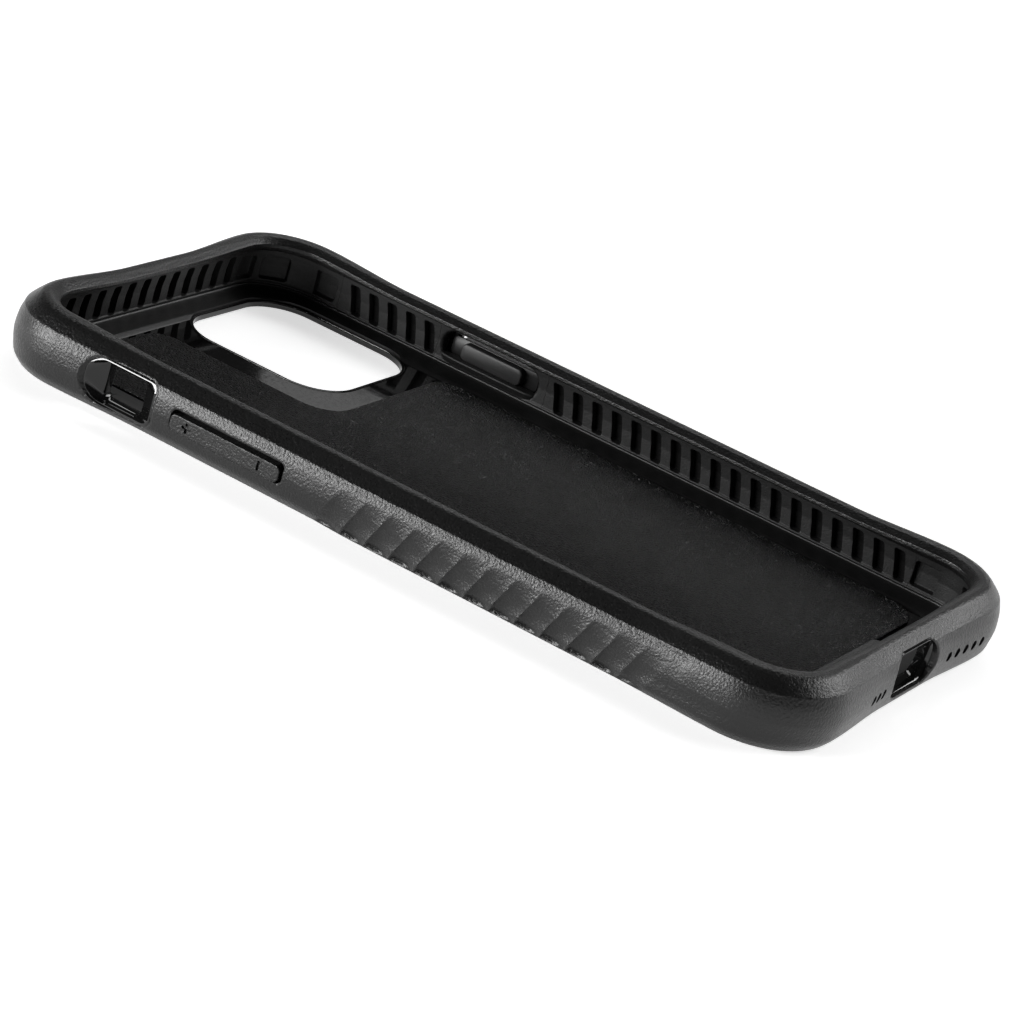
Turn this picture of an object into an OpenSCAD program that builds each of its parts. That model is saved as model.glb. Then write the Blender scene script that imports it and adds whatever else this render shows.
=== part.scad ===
// Protective case for a 5.8-inch class phone, open side up.
// Frame: +Z out of the open face, +Y towards the phone's top end, +X towards its power key.
// Origin: centre of the lowest face. Units: millimetres.

/* [Phone] */
// Width of the phone that the case holds
phone_w = 71.4; // [70.8:0.1:72.0]
// Length of the phone
phone_l = 144; // [142:0.5:146]
// Clearance between phone and pocket wall on every side
fit_gap = 0.2; // [0.1:0.05:0.3]
// Plan radius of the pocket's corners
pocket_r = 9.8; // [9.4:0.1:10.4]

/* [Bumper] */
// Wall thickness from the pocket to the widest point of a long side
wall_t = 4.3; // [4.2:0.1:4.6]
// How much thinner the two end walls are than the long sides
end_trim = 0.7; // [0.4:0.1:0.8]
// Height of the rim's crest along the straight sides
rim_h = 11.2; // [11.0:0.1:11.4]
// Extra height of the rim at the four corners
corner_lift = 0.6; // [0.3:0.1:0.8]
// Extra outward bulge of the four corners
corner_bulge = 0.7; // [0.2:0.1:0.8]
// How far the lip reaches in over the phone's edge
lip_over = 1.6; // [1.3:0.1:1.8]
// Length over which the corner shape fades into a straight side
corner_fade = 18; // [14:1:20]

/* [Grip] */
// Number of slanted flutes on each long side
flute_count = 13; // [9:1:13]
// Distance between flute crests along the side
flute_pitch = 4.6; // [4.4:0.1:4.8]
// Depth of a flute at its lower end
flute_depth = 0.8; // [0.4:0.1:0.9]
// Lean of the flutes from upright, in degrees
flute_lean = 27; // [20:1:32]
// Extra width of the foot below the flutes
grip_flare = 0.5; // [0.2:0.1:0.6]

/* [Shock strips] */
// Depth of the air slots in the inner strips
slot_depth = 1.0; // [0.6:0.1:1.1]
// Width of an air slot
slot_w = 2.0; // [1.6:0.1:2.2]
// Height of an air slot
slot_h = 5.0; // [4.0:0.5:5.0]
// Distance between slots on the long sides
side_pitch = 3.92; // [3.8:0.01:4.0]
// Distance between slots on the two ends
end_pitch = 4.19; // [4.0:0.01:4.2]

/* [Camera opening] */
// Width of the camera opening
camera_w = 29.4; // [28:0.2:30]
// Height of the camera opening
camera_h = 31.4; // [30:0.2:32]
// Corner radius of the camera opening
camera_r = 8; // [6:0.5:9]

/* [Buttons] */
// Length of the volume bar
volume_len = 21; // [18:0.5:21]
// Length of the power key
power_len = 16; // [14:0.5:16]
// Height of both buttons
button_h = 2.8; // [2.4:0.1:3.0]
// How far a button stands proud of the side
button_proud = 0.3; // [0.2:0.1:0.5]
// Gap round a button in its window
button_gap = 0.3; // [0.25:0.05:0.35]

/* [Hidden] */
$fn = 48;

// Corner centres in plan. Radii below are measured from them, so that one cross-section
// serves both the straight sides and the corners.
centre_x = phone_w / 2 + fit_gap - pocket_r;
centre_y = phone_l / 2 + fit_gap - pocket_r;
outer_r = pocket_r + wall_t;
lip_r = pocket_r - lip_over;
strip_t = 1.45;
strip_r = pocket_r + strip_t;
bumper_in_r = strip_r + 0.1;
side_x = centre_x + outer_r;
end_y = centre_y + outer_r - end_trim;

// Levels, upwards from the lowest face
skin_z = 0.2;
flange_z = 0.55;
shell_z = 0.6;
floor_z = 1.2;
lining_z = 1.7;
skirt_z = 2.55;
strip_z = 2.6;
strip_top_z = 9.2;
lip_low_z = 9.25;
crease_z = 9;

flange_r = pocket_r - 0.8;
seam = 0.05;

// Feature places
mute_y = 49;
mute_in_w = 7.2;
mute_out_w = 14.2;
mute_low_z = 1.25;
mute_top_z = 9.15;
mute_inset = 0.6;
port_w = 15.6;
port_h = 7.4;
port_z = 5.75;
tunnel_t = 0.5;
mic_x = -15.2;
speaker_x = 12.6;
sound_z = 4.9;
sound_h = 1.7;
sound_lean = 22;
volume_y = 27.9;
volume_z = 4.85;
power_y = 25.5;
power_z = 5.7;
camera_x = 17.4;
camera_y = 52.1;
bezel_t = 0.6;
lining_margin = 4.8;
slot_z = 5.65;
slot_lean = 14;
flute_first_y = 5.9;
flute_z = 4.2;
flute_fade = 8;
tab_w = 20.3;
tab_reach = 1.0;

// Closed cross-section of the bumper as [radius, height] pairs, anticlockwise. The side leans
// in up to a crease, and a flat slope runs from there to the crest.
bumper_section = [
    [flange_r, 0], [outer_r - 2, 0], [outer_r - 1.3, 0.3], [outer_r - 0.6, 1.6],
    [outer_r - 0.15, 3.2], [outer_r, 4.6], [outer_r, 5.8], [outer_r - 0.25, 7.4],
    [outer_r - 0.9, crease_z], [outer_r - 3, rim_h - 0.25], [outer_r - 3.6, rim_h],
    [outer_r - 4.3, rim_h], [lip_r + 1, rim_h - 0.35], [lip_r, rim_h - 1.1],
    [lip_r, lip_low_z + 0.2], [lip_r + 0.3, lip_low_z], [bumper_in_r, lip_low_z],
    [bumper_in_r, flange_z], [flange_r, flange_z]];

corner_steps = 9;
fade_marks = [2.5, 6, 10, 14];
flare_top_y = 12;
flare_run = 10;
flare_z = 4;

function smooth(t) = let (c = max(0, min(1, t))) c * c * (3 - 2 * c);

// A station is [centre x, centre y, direction angle, corner weight]
function corner_stations(q) = let (
        sx = (q == 0 || q == 3) ? 1 : -1,
        sy = q < 2 ? 1 : -1)
    [for (i = [0:corner_steps]) [sx * centre_x, sy * centre_y, 90 * (q + i / corner_steps), 1]];

function side_stations(q) = let (
        a = 90 * (q + 1),
        start = corner_stations(q)[corner_steps],
        run = (q % 2 == 0) ? 2 * centre_x : 2 * centre_y,
        dir = [-sin(a), cos(a)],
        there = [for (d = fade_marks) [d, smooth(1 - d / corner_fade)]],
        back = [for (i = [len(fade_marks) - 1:-1:0])
            [run - fade_marks[i], smooth(1 - fade_marks[i] / corner_fade)]],
        flare = [for (i = [0:2]) flare_top_y - (q == 1 ? i : 2 - i) * flare_run / 2],
        grip = [for (y = flare) if (q % 2 == 1) [centre_y + (q == 1 ? -y : y), 0]])
    [for (m = concat(there, grip, back)) [start[0] + dir[0] * m[0], start[1] + dir[1] * m[0], a, m[1]]];

stations = [for (q = [0:3]) each concat(corner_stations(q), side_stations(q))];

// Share of a change in the outer shape that a point of the cross-section takes: none at the
// pocket and the lip, all of it on the outer side
function reach(p) = p[0] > bumper_in_r + 0.2 || p[1] > lip_low_z + 0.5
    ? smooth((p[0] - flange_r) / 3) : 0;

// Only the upper part lifts at the corners
function lift(p) = p[1] > lip_low_z + 0.05 || p[0] > bumper_in_r + 0.2
    ? corner_lift * smooth((p[1] - 7) / 3.5) : 0;

// The foot widens below the flutes and on round the corners at the -Y end
function flare(s, p) = grip_flare * pow(cos(s[2]), 2) * smooth((flare_top_y - s[1]) / flare_run)
    * smooth((flare_z - p[1]) / flare_z);

function swept_point(s, p) = let (
        grow = s[3] * corner_bulge - end_trim * pow(sin(s[2]), 4) + flare(s, p),
        r = p[0] + reach(p) * grow)
    [s[0] + r * cos(s[2]), s[1] + r * sin(s[2]), p[1] + s[3] * lift(p)];

// Closed ring that carries a cross-section round all stations
module swept_ring(section) {
    n = len(section);
    m = len(stations);
    pts = [for (s = stations) for (p = section) swept_point(s, p)];
    faces = [for (i = [0:m - 1]) for (j = [0:n - 1]) let (
            i2 = (i + 1) % m,
            j2 = (j + 1) % n,
            a = i * n + j,
            b = i * n + j2,
            c = i2 * n + j2,
            d = i2 * n + j)
        each [[a, b, c], [a, c, d]]];
    polyhedron(points = pts, faces = faces);
}

// Rectangle w by h with corner radius r, centred, built from exact primitives
module rounded_rect(w, h, r) {
    square([w - 2 * r, h], center = true);
    square([w, h - 2 * r], center = true);
    for (sx = [-1, 1], sy = [-1, 1])
        translate([sx * (w / 2 - r), sy * (h / 2 - r)]) circle(r);
}

// Plan outline at a radius r from the corner centres
module outline(r) {
    rounded_rect(2 * (centre_x + r), 2 * (centre_y + r), r);
}

module slab(r, z0, z1) {
    translate([0, 0, z0]) linear_extrude(z1 - z0) outline(r);
}

module camera_hole(grow, z0, z1) {
    translate([camera_x, camera_y, z0]) linear_extrude(z1 - z0)
        rounded_rect(camera_w + 2 * grow, camera_h + 2 * grow, camera_r + grow);
}

// Prism along X with a rounded outline w along Y by h along Z
module side_prism(x0, x1, y, z, w, h, r) {
    translate([x0, y, z]) rotate([90, 0, 90]) linear_extrude(x1 - x0) rounded_rect(w, h, r);
}

// Prism along Y with a rounded outline w along X by h along Z
module end_prism(y0, y1, x, z, w, h, r) {
    translate([x, y1, z]) rotate([90, 0, 0]) linear_extrude(y1 - y0) rounded_rect(w, h, r);
}

// Flared prism through the left wall, wider outside, so that a fingertip can reach in.
// It runs from x_in to x_out and is grown all round.
module mute_flare(x_in, x_out, grow) {
    x_near = -(centre_x + bumper_in_r - 0.3);
    half_near = mute_in_w / 2 + 0.5;
    slope = (mute_out_w / 2 - half_near) / (side_x + x_near);
    half_in = half_near + slope * (x_near - x_in) + grow;
    half_out = half_near + slope * (x_near - x_out) + grow;
    translate([0, mute_y, mute_low_z - grow]) linear_extrude(mute_top_z - mute_low_z + 2 * grow)
        polygon([[x_in, -half_in], [x_out, -half_out], [x_out, half_out], [x_in, half_in]]);
}

// Slanted flutes along one long side; side is -1 or +1
module flutes(side) {
    half = flute_pitch * cos(flute_lean) / 2;
    r = (half * half + flute_depth * flute_depth) / (2 * flute_depth);
    for (i = [0:flute_count - 1])
        translate([side * (side_x - flute_depth + r), flute_first_y - flute_pitch * i, flute_z])
            rotate([flute_lean, 0, 0]) rotate([0, side * flute_fade, 0])
                cylinder(r = r, h = 13, center = true);
}

// Sound slots beside the port: the microphone group and the speaker group
module sound_slots() {
    for (i = [0:2]) sound_slot(mic_x + 1.9 * i, 1.1);
    for (i = [0:4]) sound_slot(speaker_x + 2.85 * i, 1.4);
}

module sound_slot(x, w) {
    translate([x, -end_y - 1, sound_z]) rotate([0, sound_lean, 0]) rotate([-90, 0, 0])
        linear_extrude(wall_t + 2) rounded_rect(w, sound_h, w / 2 - 0.02);
}

module button_window(side, y, z, len) {
    x_out = side_x + 1.5;
    x_in = centre_x + bumper_in_r - 0.2;
    x_step = centre_x + bumper_in_r + 1.1;
    w = len + 2 * button_gap;
    h = button_h + 2 * button_gap;
    mirror([side < 0 ? 1 : 0, 0, 0]) side_prism(x_in, x_out, y, z, w, h, 1);
    mirror([side < 0 ? 1 : 0, 0, 0]) side_prism(x_in, x_step, y, z, w + 2.4, h + 1.2, 1.2);
}

// Slightly deeper run of the lip beside the port
module lip_tab() {
    translate([-centre_x, -centre_y - lip_r - 0.3, lip_low_z + 0.15]) cube([tab_w, 0.3 + tab_reach, 0.75]);
}

module bumper() {
    color([0.09, 0.09, 0.1]) difference() {
        union() {
            swept_ring(bumper_section);
            lip_tab();
        }
        mute_flare(-(centre_x + bumper_in_r - 0.3), -(side_x + 2), 0);
        flutes(-1);
        flutes(1);
        button_window(-1, volume_y, volume_z, volume_len);
        button_window(1, power_y, power_z, power_len);
        end_prism(-end_y - 2, -centre_y - bumper_in_r + 0.5, 0, port_z, port_w, port_h, port_h / 2 - 0.01);
        sound_slots();
    }
}

// Tray: floor, a curved rise to the wall, and a low skirt behind the strips
shell_section = [
    [pocket_r - 5, shell_z], [strip_r, shell_z], [strip_r, skirt_z], [pocket_r, skirt_z],
    [pocket_r - 0.5, 2.15], [pocket_r - 1.3, 1.7], [pocket_r - 2.6, 1.35], [pocket_r - 5, floor_z]];

module section_ring(section) {
    for (sy = [-1, 1]) translate([0, sy * centre_y, 0]) rotate([90, 0, sy * 90])
        translate([0, 0, -centre_x]) linear_extrude(2 * centre_x) polygon(section);
    for (sx = [-1, 1]) translate([sx * centre_x, 0, 0]) rotate([90, 0, sx > 0 ? 0 : 180])
        translate([0, 0, -centre_y]) linear_extrude(2 * centre_y) polygon(section);
    for (q = [0:3])
        translate([(q == 0 || q == 3 ? 1 : -1) * centre_x, (q < 2 ? 1 : -1) * centre_y, 0])
            rotate([0, 0, 90 * q]) rotate_extrude(angle = 90) polygon(section);
}

module hard_shell() {
    x_out = centre_x + strip_r + 1;
    color([0.03, 0.03, 0.035]) difference() {
        union() {
            slab(pocket_r - 4.9, shell_z, floor_z);
            section_ring(shell_section);
        }
        camera_hole(bezel_t + seam, 0, 4);
        translate([-x_out, mute_y - 6, floor_z + 0.01]) cube([2.6, 12, 3]);
        translate([-x_out, mute_y - mute_in_w / 2, lining_z + 0.1]) cube([6, mute_in_w, 3]);
        translate([-9.4, -centre_y - strip_r - 1, floor_z + 0.01]) cube([18.8, 2.6, 3]);
    }
}

module back_skin() {
    color([0.12, 0.12, 0.13]) difference() {
        slab(flange_r - seam, skin_z, flange_z);
        camera_hole(bezel_t + seam, -1, 2);
    }
}

// Outline of the lining: a rounded sheet with a stepped cut-out round the camera
module lining_outline(shrink) {
    half_w = centre_x + pocket_r - lining_margin - shrink;
    top_y = 66.4 - shrink;
    low_y = -63.3 + shrink;
    edge_r = 6;
    cut_x = -4 - shrink;
    cut_y = 31 - shrink;
    difference() {
        translate([0, (top_y + low_y) / 2]) rounded_rect(2 * half_w, top_y - low_y, edge_r);
        difference() {
            translate([cut_x, cut_y]) square([80, 80]);
            difference() {
                translate([cut_x - 1, cut_y - 1]) square([edge_r + 1, edge_r + 1]);
                translate([cut_x + edge_r, cut_y + edge_r]) circle(edge_r);
            }
        }
        difference() {
            translate([cut_x - 4, top_y - 4]) square([6, 6]);
            translate([cut_x - 4, top_y - 4]) circle(4);
        }
        difference() {
            translate([half_w - 3, cut_y - 3]) square([6, 6]);
            translate([half_w - 3, cut_y - 3]) circle(3);
        }
    }
}

module lining_adhesive() {
    color([0.6, 0.6, 0.55]) translate([0, 0, floor_z + 0.01]) linear_extrude(0.08) lining_outline(1);
}

module lining() {
    color([0.07, 0.07, 0.075]) translate([0, 0, floor_z + 0.1])
        linear_extrude(lining_z - floor_z - 0.1) lining_outline(0);
}

module camera_bezel() {
    color([0.02, 0.02, 0.025]) difference() {
        camera_hole(bezel_t, skin_z, floor_z + 0.1);
        camera_hole(0, skin_z - 1, lining_z + 1);
    }
}

module mute_frame() {
    x_in = -(centre_x + pocket_r);
    x_mid = -(centre_x + strip_r);
    x_out = -(side_x - mute_inset);
    color([0.02, 0.02, 0.025]) difference() {
        union() {
            translate([x_mid, mute_y - 5.8, floor_z + seam])
                cube([strip_t, 11.6, strip_top_z - floor_z - seam]);
            mute_flare(x_mid + 0.1, x_out, -seam);
        }
        side_prism(x_mid - 0.1, x_in + 0.2, mute_y, 5.2, mute_in_w, 6.8, 1);
        mute_flare(x_mid - 0.05, x_out - 1, -0.5);
    }
}

module port_frame() {
    y_in = -(centre_y + pocket_r);
    y_mid = -(centre_y + strip_r);
    r = port_h / 2 - 0.02;
    color([0.02, 0.02, 0.025]) difference() {
        union() {
            translate([-9.3, y_mid, floor_z + seam]) cube([18.6, strip_t, strip_top_z - floor_z - seam]);
            end_prism(-end_y + 1.2, y_mid + 0.1, 0, port_z, port_w - 2 * seam, port_h - 2 * seam, r - seam);
        }
        end_prism(-end_y, y_in + 0.2, 0, port_z, port_w - 2 * tunnel_t, port_h - 2 * tunnel_t, r - tunnel_t);
    }
}

// Cross-section of a shock strip: a bead along its foot, and a face that leans in over
// the phone's rounded edge
strip_section = [
    [pocket_r - 0.2, strip_z], [strip_r, strip_z], [strip_r, strip_top_z],
    [pocket_r - 0.55, strip_top_z], [pocket_r - 0.3, 8], [pocket_r, 6],
    [pocket_r, strip_z + 0.6], [pocket_r - 0.2, strip_z + 0.35]];

// Straight strip along a long side, from y0 to y1; side is -1 or +1
module side_strip(side, y0, y1) {
    translate([side * centre_x, 0, 0]) rotate([90, 0, side > 0 ? 0 : 180])
        translate([0, 0, side > 0 ? -y1 : y0]) linear_extrude(y1 - y0) polygon(strip_section);
}

// Straight strip along an end, from x0 to x1; side is -1 or +1
module end_strip(side, x0, x1) {
    translate([0, side * centre_y, 0]) rotate([90, 0, side * 90])
        translate([0, 0, side > 0 ? x0 : -x1]) linear_extrude(x1 - x0) polygon(strip_section);
}

// One air slot in a long side's strip
module side_slot(side, y) {
    translate([side * (centre_x + pocket_r - 1), y, slot_z]) rotate([-slot_lean, 0, 0])
        translate([side > 0 ? 0 : -1 - slot_depth, -slot_w / 2, -slot_h / 2])
            cube([1 + slot_depth, slot_w, slot_h]);
}

// One air slot in an end's strip
module end_slot(side, x) {
    translate([x - slot_w / 2, side * (centre_y + pocket_r - 1) - (side > 0 ? 0 : 1 + slot_depth),
        slot_z - slot_h / 2]) cube([slot_w, 1 + slot_depth, slot_h]);
}

module strip_color() {
    color([0.1, 0.1, 0.105]) children();
}

end_slots = 12;
end_half = end_pitch * end_slots / 2;

module shock_strip_top() {
    strip_color() difference() {
        end_strip(1, -end_half, end_half);
        for (i = [0:end_slots - 1]) end_slot(1, (i - (end_slots - 1) / 2) * end_pitch);
    }
}

// Half strips beside the port
module bottom_strip(side) {
    x0 = side > 0 ? 9.4 : -end_half;
    x1 = side > 0 ? end_half : -9.4;
    strip_color() difference() {
        end_strip(-1, x0, x1);
        for (i = [0:2]) end_slot(-1, side * (end_half - end_pitch * (i + 0.5)));
        sound_slots();
    }
}

module shock_strip_bottom_left() {
    bottom_strip(-1);
}

module shock_strip_bottom_right() {
    bottom_strip(1);
}

lower_top_y = 13.8;
lower_low_y = -57.8;
upper_low_y = 36.2;
upper_top_y = 57;
lower_slots = 18;
upper_slots = 5;
first_lower_slot = 11.2;
first_upper_slot = 53.7;

module shock_strip_left() {
    strip_color() difference() {
        side_strip(-1, lower_low_y, lower_top_y);
        for (i = [0:lower_slots - 1]) side_slot(-1, first_lower_slot - side_pitch * i);
    }
}

module shock_strip_right_lower() {
    strip_color() difference() {
        side_strip(1, lower_low_y, lower_top_y);
        for (i = [0:lower_slots - 1]) side_slot(1, first_lower_slot - side_pitch * i);
    }
}

module shock_strip_right_upper() {
    strip_color() difference() {
        side_strip(1, upper_low_y, upper_top_y);
        for (i = [0:upper_slots - 1]) side_slot(1, first_upper_slot - side_pitch * i);
    }
}

// Corner pad: a quarter ring that runs on along the long side to y_end, with three pockets
module corner_pad(sx, sy, y_end) {
    q = sx > 0 ? (sy > 0 ? 0 : 3) : (sy > 0 ? 1 : 2);
    pocket_depth = 0.8;
    pocket_h = 4.2;
    strip_color() difference() {
        union() {
            translate([sx * centre_x, sy * centre_y, 0]) rotate([0, 0, 90 * q])
                rotate_extrude(angle = 90) polygon(strip_section);
            side_strip(sx, min(y_end, sy * centre_y), max(y_end, sy * centre_y));
            end_strip(sy, sx > 0 ? end_half + seam : -centre_x, sx > 0 ? centre_x : -end_half - seam);
        }
        for (a = [45, 83]) translate([sx * centre_x, sy * centre_y, slot_z - pocket_h / 2])
            rotate([0, 0, sx * sy > 0 ? 90 * q + a : 90 * q + 90 - a])
                translate([pocket_r - 2, -2.6, 0]) cube([2 + pocket_depth, 5.2, pocket_h]);
        translate([sx * (centre_x + pocket_r - 1), sy * (centre_y - 2), slot_z])
            cube([2 + 2 * pocket_depth, 4.8, pocket_h], center = true);
    }
}

module corner_pad_top_left() {
    corner_pad(-1, 1, mute_y + 5.8 + seam);
}

module corner_pad_top_right() {
    corner_pad(1, 1, upper_top_y + seam);
}

module corner_pad_bottom_left() {
    corner_pad(-1, -1, lower_low_y - seam);
}

module corner_pad_bottom_right() {
    corner_pad(1, -1, lower_low_y - seam);
}

// Collars: filled runs of the wall with an oval pocket behind each button
module volume_collar() {
    x = centre_x + pocket_r;
    strip_color() difference() {
        side_strip(-1, lower_top_y + seam, mute_y - 5.8 - seam);
        side_prism(-x - 2, -x + 2, volume_y, volume_z + 0.5, volume_len + 2.4, 5.0, 2.4);
    }
}

module power_collar() {
    x = centre_x + pocket_r;
    strip_color() difference() {
        side_strip(1, lower_top_y + seam, upper_low_y - seam);
        side_prism(x - 2, x + 2, power_y, power_z + 0.15, power_len + 3.5, 5.8, 2.8);
    }
}

plate_r = bumper_in_r + 0.3;
plate_t = 0.4;

module button_face(side, y, z, len) {
    x0 = centre_x + plate_r + plate_t;
    x1 = side_x + button_proud;
    mirror([side < 0 ? 1 : 0, 0, 0]) side_prism(x0, x1, y, z, len, button_h, 0.7);
}

// Retaining plate behind a button, with feet that reach the phone's own keys
module button_presser(side, y, z, len, feet, foot_w, foot_h) {
    x0 = centre_x + plate_r;
    mirror([side < 0 ? 1 : 0, 0, 0]) {
        side_prism(x0, x0 + plate_t, y, z, len + 1.8, button_h + 0.6, 0.8);
        for (f = feet) side_prism(x0 - 1.5, x0 + 0.01, y + f, z, foot_w, foot_h, 1);
    }
}

module volume_bar() {
    color([0.09, 0.09, 0.1]) button_face(-1, volume_y, volume_z, volume_len);
}

module volume_presser() {
    color([0.05, 0.05, 0.055]) button_presser(-1, volume_y, volume_z, volume_len, [-6.4, 6.4], 6, button_h - 0.4);
}

module power_key() {
    color([0.09, 0.09, 0.1]) button_face(1, power_y, power_z, power_len);
}

module power_presser() {
    color([0.05, 0.05, 0.055]) button_presser(1, power_y, power_z, power_len, [0], 12.4, button_h + 0.3);
}

bumper();
hard_shell();
back_skin();
lining_adhesive();
lining();
camera_bezel();
mute_frame();
port_frame();
shock_strip_top();
shock_strip_bottom_left();
shock_strip_bottom_right();
shock_strip_left();
shock_strip_right_upper();
shock_strip_right_lower();
corner_pad_top_left();
corner_pad_top_right();
corner_pad_bottom_left();
corner_pad_bottom_right();
volume_collar();
power_collar();
volume_bar();
volume_presser();
power_key();
power_presser();
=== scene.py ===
import math
import bmesh
import bpy
import numpy as np
from mathutils import Matrix, Vector


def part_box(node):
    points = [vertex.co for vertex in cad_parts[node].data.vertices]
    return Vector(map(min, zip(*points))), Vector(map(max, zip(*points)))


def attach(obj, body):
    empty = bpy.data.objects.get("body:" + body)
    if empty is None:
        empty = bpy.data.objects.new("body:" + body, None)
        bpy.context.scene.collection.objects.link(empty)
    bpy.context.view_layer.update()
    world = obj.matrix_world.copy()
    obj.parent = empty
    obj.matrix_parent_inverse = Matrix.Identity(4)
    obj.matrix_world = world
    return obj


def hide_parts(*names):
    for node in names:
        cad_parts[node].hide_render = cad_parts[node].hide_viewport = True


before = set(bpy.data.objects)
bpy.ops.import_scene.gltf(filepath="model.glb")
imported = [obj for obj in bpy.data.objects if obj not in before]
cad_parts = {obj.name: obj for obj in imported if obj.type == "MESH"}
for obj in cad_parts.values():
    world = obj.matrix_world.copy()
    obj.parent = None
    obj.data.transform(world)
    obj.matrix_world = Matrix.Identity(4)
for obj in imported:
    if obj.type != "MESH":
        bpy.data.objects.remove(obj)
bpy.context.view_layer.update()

MM = 0.001
scene = bpy.context.scene

# ---------------------------------------------------------------- sizes, in mm
POCKET_R = 9.8
STRIP_R = POCKET_R + 1.45
BUMPER_IN_R = STRIP_R + 0.1
WALL_R = 11.8
OUTER_R = 14.1
END_TRIM = 0.7
LIP_R = 8.2
FLANGE_R = 9.0
RIM_H = 11.2
CREASE_Z = 9.0
LIP_LOW = 9.25
CORNER_BULGE = 0.7
CORNER_LIFT = 0.6
CORNER_FADE = 18.0
GRIP_FLARE, FLARE_TOP_Y, FLARE_RUN, FLARE_Z = 0.5, 12.0, 10.0, 4.0
FLANGE_Z, SHELL_Z, FLOOR_Z, LINING_Z = 0.55, 0.6, 1.2, 1.7
STRIP_LOW, STRIP_TOP = 2.6, 9.2
FLUTE_PITCH, FLUTE_COUNT, FLUTE_DEPTH = 4.6, 13, 0.9
FLUTE_TOP_Y, FLUTE_SHEAR = 9.4, -0.52
# The third number is the depth past which a strip's faces take the darker rubber that paints the shade in its
# recesses.
SLOT_DEPTH, PAD_DEPTH, PAINTED_SHADE_DEPTH = 1.15, 0.95, 1.0

# Edges that turn by more degrees than this stay hard: on plain pieces, the bumper, and the strips and keys.
SHARP, BUMPER_SHARP, STRIP_SHARP = 35.0, 40, 50


def box_mm(node):
    low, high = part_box(node)
    return np.array(low) / MM, np.array(high) / MM


CX = box_mm("shock_strip_right_lower")[1][0] - STRIP_R
CY = box_mm("shock_strip_top")[1][1] - STRIP_R
SIDE_X = CX + OUTER_R
END_Y = CY + OUTER_R - END_TRIM
RIGHT, TOP, LEFT, BOTTOM = 0, 90, 180, 270
SIGN = {RIGHT: 1, LEFT: -1}


# ---------------------------------------------------------------- mesh helpers
def smooth(t):
    t = np.clip(t, 0.0, 1.0)
    return t * t * (3 - 2 * t)


def add_object(name, verts, faces, material, sharp=SHARP):
    mesh = bpy.data.meshes.new(name)
    mesh.from_pydata((np.asarray(verts, dtype=float) * MM).tolist(), [], faces)
    mesh.update()
    obj = bpy.data.objects.new(name, mesh)
    scene.collection.objects.link(obj)
    if material is not None:
        mesh.materials.append(material)
    finish_normals(obj, sharp)
    return obj


def finish_normals(obj, sharp):
    bm = bmesh.new()
    bm.from_mesh(obj.data)
    bmesh.ops.recalc_face_normals(bm, faces=bm.faces)
    bm.to_mesh(obj.data)
    bm.free()
    obj.data.shade_smooth()
    obj.data.set_sharp_from_angle(angle=math.radians(sharp))


def apply_modifiers(obj):
    depsgraph = bpy.context.evaluated_depsgraph_get()
    mesh = bpy.data.meshes.new_from_object(obj.evaluated_get(depsgraph))
    old = obj.data
    obj.modifiers.clear()
    obj.data = mesh
    bpy.data.meshes.remove(old)


def cut(obj, cutters, sharp=SHARP):
    """Subtracts the cutter meshes from obj and removes them."""
    for cutter in cutters:
        mod = obj.modifiers.new("cut", "BOOLEAN")
        mod.operation = "DIFFERENCE"
        mod.solver = "MANIFOLD"
        mod.object = cutter
    bpy.context.view_layer.update()
    apply_modifiers(obj)
    for cutter in cutters:
        data = cutter.data
        bpy.data.objects.remove(cutter)
        bpy.data.meshes.remove(data)
    obj.data.shade_smooth()
    obj.data.set_sharp_from_angle(angle=math.radians(sharp))


def place(obj, body, slot, *replaced):
    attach(obj, body)
    if replaced:
        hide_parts(*replaced)
    return obj


def grid_faces(n, m, closed_n, closed_m=True):
    faces = []
    for i in range(n if closed_n else n - 1):
        a = i * m
        b = ((i + 1) % n) * m
        for j in range(m if closed_m else m - 1):
            k = (j + 1) % m
            faces.append((a + j, a + k, b + k, b + j))
    return faces


def sweep(name, rings, closed, material, sharp=SHARP):
    """A surface through equal rings of points; its ends are capped unless it closes on itself."""
    rings = np.asarray(rings, dtype=float)
    n, m = rings.shape[:2]
    faces = grid_faces(n, m, closed)
    if not closed:
        faces.append(tuple(range(m - 1, -1, -1)))
        faces.append(tuple(range((n - 1) * m, n * m)))
    return add_object(name, rings.reshape(-1, 3), faces, material, sharp)


def fillet(points, radii, step=0.5, arc=14.0):
    """Closed 2-D polygon with rounded corners and no segment longer than step."""
    pts = [np.array(p, dtype=float) for p in points]
    n = len(pts)
    out = []
    for i in range(n):
        p, a, b = pts[i], pts[i - 1], pts[(i + 1) % n]
        u, v = (a - p), (b - p)
        lu, lv = np.linalg.norm(u), np.linalg.norm(v)
        u, v = u / lu, v / lv
        angle = math.acos(np.clip(np.dot(u, v), -1, 1))
        turn = math.pi - angle
        if turn < 0.02 or radii[i] <= 0:
            out.append(p)
            continue
        t = min(radii[i] * math.tan(turn / 2), 0.48 * min(lu, lv))
        r = t / math.tan(turn / 2)
        centre = p + (u + v) / np.linalg.norm(u + v) * (r / math.cos(turn / 2))
        count = max(2, int(math.ceil(math.degrees(turn) / arc)) + 1)
        start, end = p + u * t - centre, p + v * t - centre
        for k in range(count):
            f = k / (count - 1)
            w = (math.sin((1 - f) * turn) * start + math.sin(f * turn) * end) / math.sin(turn)
            out.append(centre + w)
    dense = []
    for i, p in enumerate(out):
        q = out[(i + 1) % len(out)]
        cuts = max(1, int(math.ceil(np.linalg.norm(q - p) / step)))
        dense.extend(p + (q - p) * k / cuts for k in range(cuts))
    return np.array(dense)


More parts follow.
